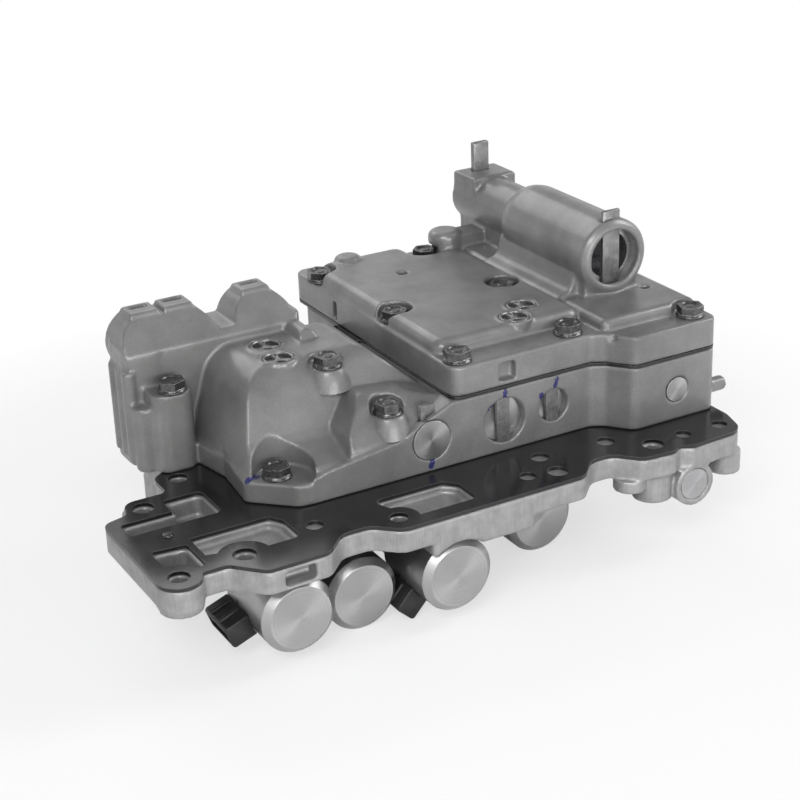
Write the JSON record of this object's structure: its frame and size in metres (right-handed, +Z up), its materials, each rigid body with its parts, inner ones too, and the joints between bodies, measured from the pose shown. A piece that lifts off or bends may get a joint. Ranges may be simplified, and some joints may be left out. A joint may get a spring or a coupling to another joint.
{
  "type": "transmission valve body",
  "caption": "Hydraulic valve body of an automatic transmission: three stacked castings with separator plates, valve bores, accumulator tube and solenoids below",
  "frame": {"origin": "centre of the front left case bolt hole, on the top joint face of the lower casting", "axes": "+X along the front edge to the right, +Y to the back, +Z up"},
  "size_m": [0.273, 0.1819, 0.1423],
  "materials": {
    "raw_aluminium": "bright die casting, machined joint face",
    "cast_aluminium": "grey die casting under a film of oil",
    "coated_steel_plate": "near black glossy coated steel",
    "black_plastic": "black moulded plastic",
    "turned_can": "satin turned steel",
    "spring_steel": "bare spring steel",
    "bolt_steel": "dark plated steel",
    "key_steel": "stamped steel",
    "turned_aluminium": "turned aluminium",
    "spool_aluminium": "hard anodised aluminium"
  },
  "bodies": {
    "valve_body": {"lower_casting": "raw_aluminium", "lower_separator_plate": "coated_steel_plate", "gallery_plug": "turned_aluminium", "mid_casting": "cast_aluminium", "upper_separator_plate": "coated_steel_plate", "upper_casting": "cast_aluminium", "solenoid_clips": "key_steel", "front_plug_keys": "key_steel", "boss_valve_keys": "key_steel", "accumulator_key": "key_steel", "accumulator_spring": "spring_steel", "rear_valve_plug": "turned_aluminium", "rear_valve_spring": "spring_steel", "rear_valve_key": "key_steel", "upper_casting_bolts": "bolt_steel", "mid_casting_bolts": "bolt_steel", "solenoid_can_a": "turned_can", "solenoid_nozzle_a": "turned_aluminium", "solenoid_connector_a": "black_plastic", "front_plug_a": "turned_aluminium", "front_spring_a": "spring_steel", "solenoid_can_b": "turned_can", "solenoid_nozzle_b": "turned_aluminium", "solenoid_connector_b": "black_plastic", "front_plug_b": "turned_aluminium", "front_spring_b": "spring_steel", "solenoid_can_c": "turned_can", "solenoid_nozzle_c": "turned_aluminium", "solenoid_connector_c": "black_plastic", "front_plug_c": "turned_aluminium", "front_spring_c": "spring_steel", "solenoid_can_d": "turned_can", "solenoid_nozzle_d": "turned_aluminium", "solenoid_connector_d": "black_plastic", "front_plug_d": "turned_aluminium", "front_spring_d": "spring_steel", "boss_plug_a": "turned_aluminium", "boss_spring_a": "spring_steel", "boss_plug_b": "turned_aluminium", "boss_spring_b": "spring_steel", "boss_plug_c": "turned_aluminium", "boss_spring_c": "spring_steel"},
    "front_valve_a": {"front_spool_a": "spool_aluminium"},
    "front_valve_b": {"front_spool_b": "spool_aluminium"},
    "front_valve_c": {"front_spool_c": "spool_aluminium"},
    "front_valve_d": {"front_spool_d": "spool_aluminium"},
    "plunger_a": {"solenoid_plunger_a": "spool_aluminium"},
    "plunger_b": {"solenoid_plunger_b": "spool_aluminium"},
    "plunger_c": {"solenoid_plunger_c": "spool_aluminium"},
    "plunger_d": {"solenoid_plunger_d": "spool_aluminium"},
    "boss_valve_a": {"boss_spool_a": "spool_aluminium"},
    "boss_valve_b": {"boss_spool_b": "spool_aluminium"},
    "boss_valve_c": {"boss_spool_c": "spool_aluminium"},
    "accumulator": {"accumulator_piston": "spool_aluminium"},
    "rear_valve": {"rear_valve_spool": "spool_aluminium"}
  },
  "joints": [
    {"name": "front_valve_a_slide", "type": "slide", "parent": "valve_body", "child": "front_valve_a", "axis": [0, 1, 0], "range_m": [0, 0.005], "stiffness_N_per_m": 400, "deforming": ["front_spring_a"]},
    {"name": "front_valve_b_slide", "type": "slide", "parent": "valve_body", "child": "front_valve_b", "axis": [0, 1, 0], "range_m": [0, 0.005], "stiffness_N_per_m": 400, "deforming": ["front_spring_b"]},
    {"name": "front_valve_c_slide", "type": "slide", "parent": "valve_body", "child": "front_valve_c", "axis": [0, 1, 0], "range_m": [0, 0.005], "stiffness_N_per_m": 400, "deforming": ["front_spring_c"]},
    {"name": "front_valve_d_slide", "type": "slide", "parent": "valve_body", "child": "front_valve_d", "axis": [0, 1, 0], "range_m": [0, 0.005], "stiffness_N_per_m": 400, "deforming": ["front_spring_d"]},
    {"name": "plunger_a_slide", "type": "slide", "parent": "valve_body", "child": "plunger_a", "axis": [0, 1, 0], "range_m": [0, 0.002], "stiffness_N_per_m": 400},
    {"name": "plunger_b_slide", "type": "slide", "parent": "valve_body", "child": "plunger_b", "axis": [0, 1, 0], "range_m": [0, 0.002], "stiffness_N_per_m": 400},
    {"name": "plunger_c_slide", "type": "slide", "parent": "valve_body", "child": "plunger_c", "axis": [0, 1, 0], "range_m": [0, 0.002], "stiffness_N_per_m": 400},
    {"name": "plunger_d_slide", "type": "slide", "parent": "valve_body", "child": "plunger_d", "axis": [0, 1, 0], "range_m": [0, 0.002], "stiffness_N_per_m": 400},
    {"name": "boss_valve_a_slide", "type": "slide", "parent": "valve_body", "child": "boss_valve_a", "axis": [0, -1, 0], "range_m": [0, 0.0015], "stiffness_N_per_m": 400, "deforming": ["boss_spring_a"]},
    {"name": "boss_valve_b_slide", "type": "slide", "parent": "valve_body", "child": "boss_valve_b", "axis": [0, -1, 0], "range_m": [0, 0.0015], "stiffness_N_per_m": 400, "deforming": ["boss_spring_b"]},
    {"name": "boss_valve_c_slide", "type": "slide", "parent": "valve_body", "child": "boss_valve_c", "axis": [0, -1, 0], "range_m": [0, 0.0015], "stiffness_N_per_m": 400, "deforming": ["boss_spring_c"]},
    {"name": "accumulator_slide", "type": "slide", "parent": "valve_body", "child": "accumulator", "axis": [0, 1, 0], "range_m": [0, 0.016], "stiffness_N_per_m": 1500, "deforming": ["accumulator_spring"]},
    {"name": "rear_valve_slide", "type": "slide", "parent": "valve_body", "child": "rear_valve", "axis": [0, -1, 0], "range_m": [0, 0.004], "stiffness_N_per_m": 400, "deforming": ["rear_valve_spring"]}
  ]
}
